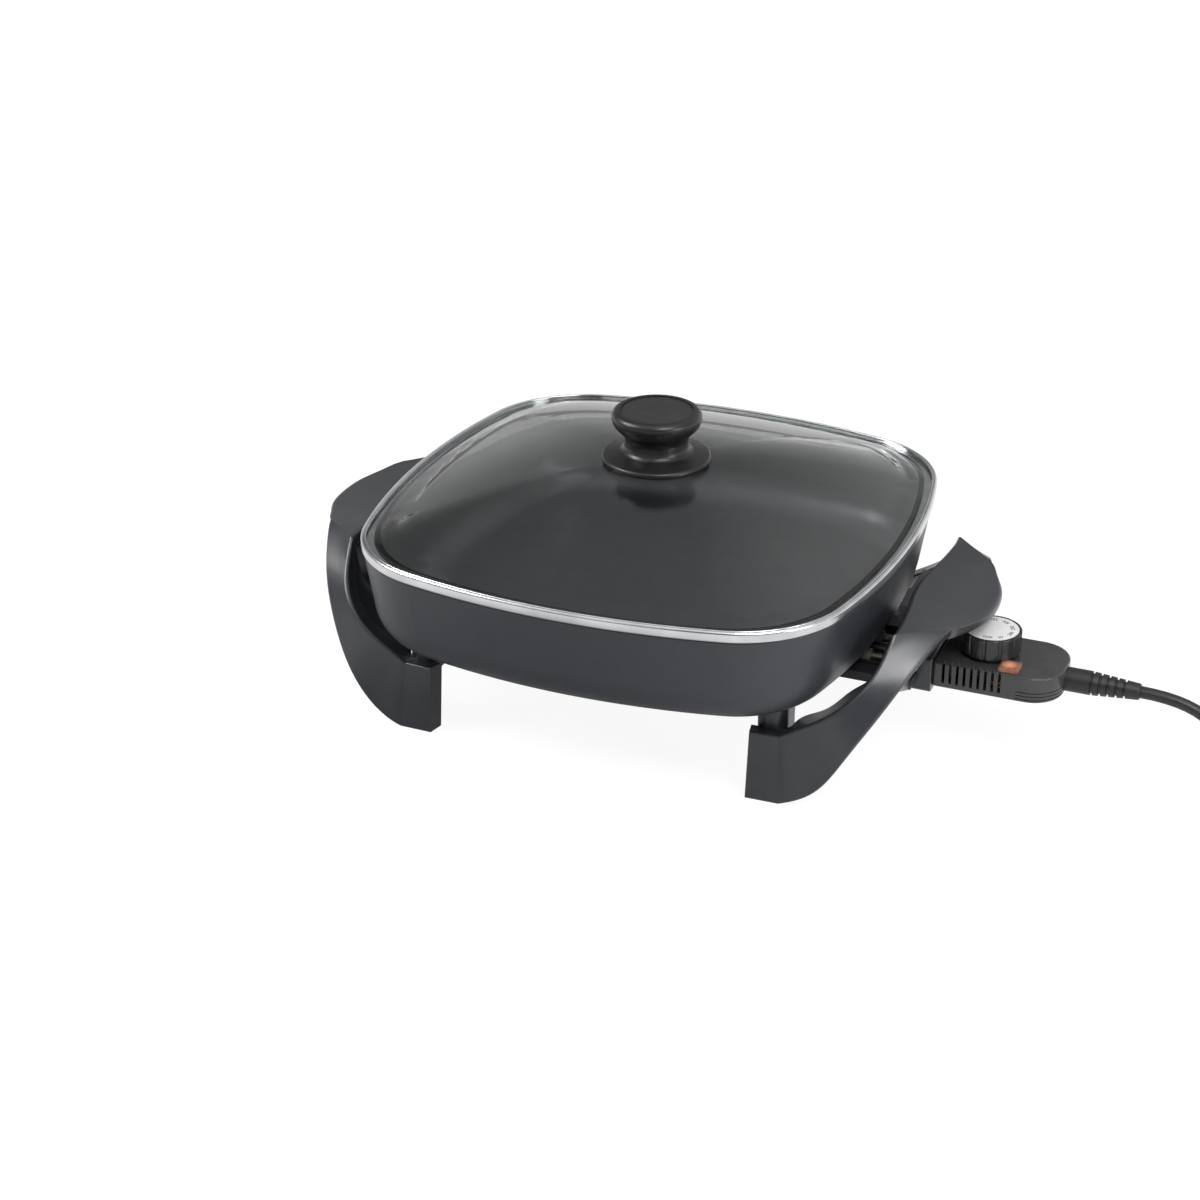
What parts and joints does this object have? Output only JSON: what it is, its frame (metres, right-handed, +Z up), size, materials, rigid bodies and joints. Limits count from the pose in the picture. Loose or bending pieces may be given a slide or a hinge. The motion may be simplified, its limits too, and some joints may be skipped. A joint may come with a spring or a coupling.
{
  "type": "electric skillet",
  "caption": "Square electric frying pan with a domed glass lid, a moulded handle-and-leg unit on each side, and a plug-in dial control on a mains lead.",
  "frame": {"origin": "middle of the footprint of skillet and control, without the lead, in the plane of the four foot soles", "axes": "+Z up, +X towards the plug-in control, +Y towards the rear side as seen in the picture"},
  "size_m": [0.6742, 0.31, 0.177],
  "materials": {
    "coated_aluminium": "satin dark non-stick coat on cast aluminium",
    "phenolic": "satin moulded phenolic",
    "fastener_steel": "zinc-plated",
    "element_sheath": "oxidised sheath",
    "ceramic": "unglazed ceramic",
    "nickel_pins": "nickel-plated",
    "tempered_glass": "clear tempered glass",
    "rim_steel": "polished stainless",
    "knob_plastic": "satin moulded",
    "disc_plastic": "matt",
    "brass_insert": "turned",
    "silicone": "matt",
    "control_plastic": "gloss moulded",
    "dial_plastic": "gloss moulded",
    "dial_white": "printed plate",
    "amber_lens": "clear amber",
    "lamp_glass": "clear",
    "resistor_body": "lacquered",
    "stem_steel": "polished stainless",
    "frame_steel": "plated strip",
    "cord_vinyl": "satin vinyl",
    "plug_vinyl": "satin vinyl"
  },
  "bodies": {
    "skillet": {"pan": "coated_aluminium", "heating_element": "element_sheath", "element_seals": "ceramic", "terminal_pins": "nickel_pins", "left_handle_leg": "phenolic", "right_handle_leg": "phenolic", "handle_screws": "fastener_steel", "probe_guard": "phenolic", "guard_screws": "fastener_steel"},
    "lid": {"lid_glass": "tempered_glass", "lid_rim": "rim_steel", "lid_knob": "knob_plastic", "knob_disc": "disc_plastic", "knob_insert": "brass_insert", "knob_gasket": "silicone", "knob_washer": "fastener_steel", "knob_screw": "fastener_steel"},
    "control": {"control_base": "control_plastic", "control_cover": "control_plastic", "cover_screws": "fastener_steel", "contact_sleeves": "brass_insert", "contact_block": "control_plastic", "sensor_stem": "stem_steel", "thermostat_frame": "frame_steel", "blade_insulators": "ceramic", "bimetal_blade": "frame_steel", "switch_blade": "frame_steel", "neon_lamp": "lamp_glass", "lamp_resistor": "resistor_body", "lamp_lens": "amber_lens", "strain_relief": "cord_vinyl", "power_cord": "cord_vinyl", "cord_coil": "cord_vinyl", "cord_tail": "cord_vinyl", "plug_body": "plug_vinyl", "plug_blades": "nickel_pins"},
    "dial": {"dial_knob": "dial_plastic", "dial_plate": "dial_white", "dial_shaft": "stem_steel"}
  },
  "joints": [
    {"name": "lid_lift", "type": "slide", "parent": "skillet", "child": "lid", "axis": [0, 0, 1], "range_m": [0, 0.15]},
    {"name": "control_pull", "type": "slide", "parent": "skillet", "child": "control", "axis": [1, 0, 0], "range_m": [0, 0.085]},
    {"name": "dial_turn", "type": "hinge", "parent": "control", "child": "dial", "pos_m": [0.1633, 0, 0.069], "axis": [0, 0, -1], "range_deg": [0, 290]}
  ]
}
